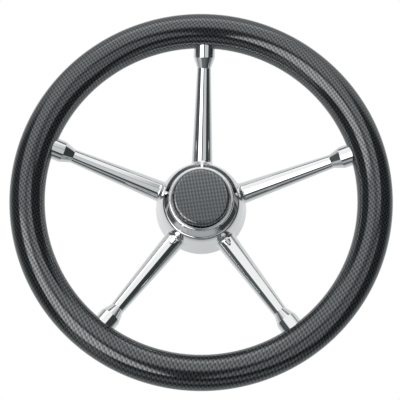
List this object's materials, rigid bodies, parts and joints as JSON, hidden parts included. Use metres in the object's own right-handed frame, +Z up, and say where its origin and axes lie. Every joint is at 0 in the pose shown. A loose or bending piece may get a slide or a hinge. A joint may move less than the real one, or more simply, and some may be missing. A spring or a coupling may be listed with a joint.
{
  "type": "boat steering wheel",
  "caption": "Dished boat steering wheel with polished stainless spokes and flared hub, a glossy carbon-look grip, and a tapered, keyed bore for the helm shaft.",
  "frame": {"origin": "middle of the boss's rear face, on the shaft axis, where the helm shaft enters", "axes": "+Y along the shaft axis towards the helm, the driver at -Y; +Z up along one spoke; X to the driver's right"},
  "size_m": [0.35, 0.0756, 0.35],
  "materials": {
    "polished_stainless": "mirror-polished stainless steel",
    "turned_stainless": "fine turned, not polished",
    "steel_ring": "plain drawn tube, hidden inside the grip",
    "carbon_look_grip": "twill weave pattern under a clear gloss coat",
    "carbon_look_button": "fine plain weave pattern under a clear gloss coat",
    "seal_rubber": "matt black"
  },
  "bodies": {
    "root": {"rim_grip": "carbon_look_grip", "rim_core": "steel_ring", "spoke_1": "polished_stainless", "spoke_2": "polished_stainless", "spoke_3": "polished_stainless", "spoke_4": "polished_stainless", "spoke_5": "polished_stainless", "hub_shell": "polished_stainless", "hub_boss": "turned_stainless", "cap_bezel": "polished_stainless", "cap_seal": "seal_rubber", "cap_button": "carbon_look_button"}
  },
  "joints": []
}
